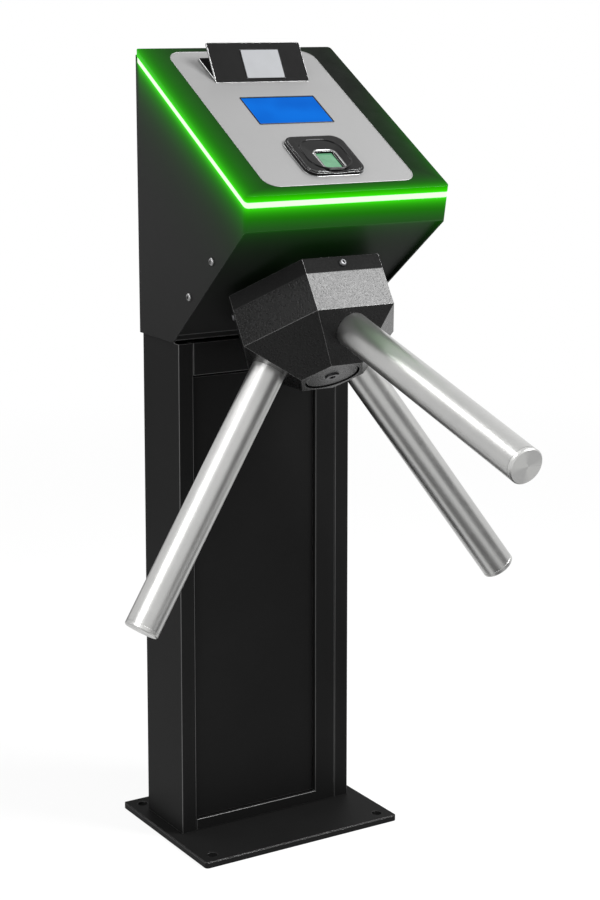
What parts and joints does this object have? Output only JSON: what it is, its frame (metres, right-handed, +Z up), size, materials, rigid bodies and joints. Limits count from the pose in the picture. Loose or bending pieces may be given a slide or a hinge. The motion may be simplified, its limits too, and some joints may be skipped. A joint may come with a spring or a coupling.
{
  "type": "tripod turnstile",
  "caption": "Column turnstile with a sloping reader head, a green light strip and a tilted hexagonal hub that turns tubular arms.",
  "frame": {"origin": "on the floor, at the middle of the base plate's anchor holes", "axes": "+Z up, -Y towards the front where the front arm points, +X to the right as seen from the front"},
  "size_m": [0.577, 0.7023, 1.0579],
  "materials": {
    "black_powder_coat": "matte black powder coat with a fine grain",
    "textured_black_coat": "coarse textured black powder coat",
    "gloss_black": "polished black",
    "satin_silver": "satin anodised",
    "brushed_stainless": "turned and brushed stainless steel",
    "bright_steel": "ground steel",
    "zinc_plated": "zinc plated sheet",
    "dark_steel": "hardened and blackened steel",
    "cast_aluminium": "cast and machined aluminium",
    "brass": "machined brass",
    "coil_tape": "taped coil between steel plates",
    "black_plastic": "moulded black plastic",
    "circuit_board": "green circuit board",
    "light_board": "white circuit board with lamps",
    "green_light": "frosted diffuser, lit green",
    "green_window": "window lit green from inside",
    "blue_screen": "lit blue screen",
    "pale_window": "pale reader window"
  },
  "bodies": {
    "stand": {"base_plate": "black_powder_coat", "base_collar": "black_powder_coat", "column_shell": "black_powder_coat", "front_frame": "black_powder_coat", "access_cover": "black_powder_coat", "housing_shell": "black_powder_coat", "underside_panel": "black_powder_coat", "lid": "gloss_black", "reader_hood": "gloss_black", "fingerprint_bezel": "gloss_black", "control_panel": "satin_silver", "lower_bearing": "bright_steel", "upper_bearing": "bright_steel", "pawl_pins": "bright_steel", "side_screws": "bright_steel", "bearing_screws": "bright_steel", "plate_screws": "bright_steel", "mounting_plate": "zinc_plated", "mechanism_plate": "zinc_plated", "power_supply": "zinc_plated", "left_bracket": "zinc_plated", "right_bracket": "zinc_plated", "housing_shims": "zinc_plated", "pawl_clips": "dark_steel", "bearing_housing": "cast_aluminium", "board_spacers": "brass", "left_solenoid": "coil_tape", "right_solenoid": "coil_tape", "damper_body": "black_plastic", "position_sensor": "black_plastic", "fingerprint_module": "black_plastic", "control_board": "circuit_board", "lcd_module": "circuit_board", "reader_module": "circuit_board", "led_strip": "light_board", "led_diffuser": "green_light", "fingerprint_glass": "green_window", "lcd_glass": "blue_screen", "reader_window": "pale_window"},
    "tripod": {"hub_shell": "textured_black_coat", "hub_core": "cast_aluminium", "hub_back_plate": "textured_black_coat", "hub_end_cap": "textured_black_coat", "centre_bolt": "bright_steel", "hub_screws": "bright_steel", "front_arm": "brushed_stainless", "left_arm": "brushed_stainless", "right_arm": "brushed_stainless", "arm_caps": "brushed_stainless", "main_shaft": "bright_steel", "shaft_nut": "dark_steel", "lock_disc": "dark_steel", "drive_gear": "brass"},
    "damper_rotor": {"damper_pinion": "bright_steel"},
    "left_lock": {"left_pawl": "dark_steel"},
    "right_lock": {"right_pawl": "dark_steel"},
    "left_armature": {"left_plunger": "bright_steel"},
    "right_armature": {"right_plunger": "bright_steel"}
  },
  "joints": [
    {"name": "tripod_turn", "type": "hinge", "parent": "stand", "child": "tripod", "pos_m": [0, -0.1188, 0.7482], "axis": [0, -0.5299, -0.848], "continuous": true},
    {"name": "damper_turn", "type": "hinge", "parent": "stand", "child": "damper_rotor", "pos_m": [0, -0.01005, 0.78637], "axis": [0, -0.5299, -0.848], "continuous": true},
    {"name": "left_pawl_swing", "type": "hinge", "parent": "stand", "child": "left_lock", "pos_m": [-0.08, -0.11547, 0.83279], "axis": [0, -0.5299, -0.848], "range_deg": [0, 12], "stiffness_Nm_per_rad": 0.4, "springref_deg": -20.05},
    {"name": "right_pawl_swing", "type": "hinge", "parent": "stand", "child": "right_lock", "pos_m": [0.08, -0.11547, 0.83279], "axis": [0, 0.5299, 0.848], "range_deg": [0, 12], "stiffness_Nm_per_rad": 0.4, "springref_deg": -20.05},
    {"name": "left_plunger_slide", "type": "slide", "parent": "stand", "child": "left_armature", "axis": [-1, 0, 0], "range_m": [0, 0.0062]},
    {"name": "right_plunger_slide", "type": "slide", "parent": "stand", "child": "right_armature", "axis": [1, 0, 0], "range_m": [0, 0.0062]}
  ],
  "couplings": [
    {"joint": "damper_turn", "follows": "tripod_turn", "ratio": -3},
    {"joint": "left_plunger_slide", "follows": "left_pawl_swing", "m_per_rad": 0.029},
    {"joint": "right_plunger_slide", "follows": "right_pawl_swing", "m_per_rad": 0.029}
  ]
}
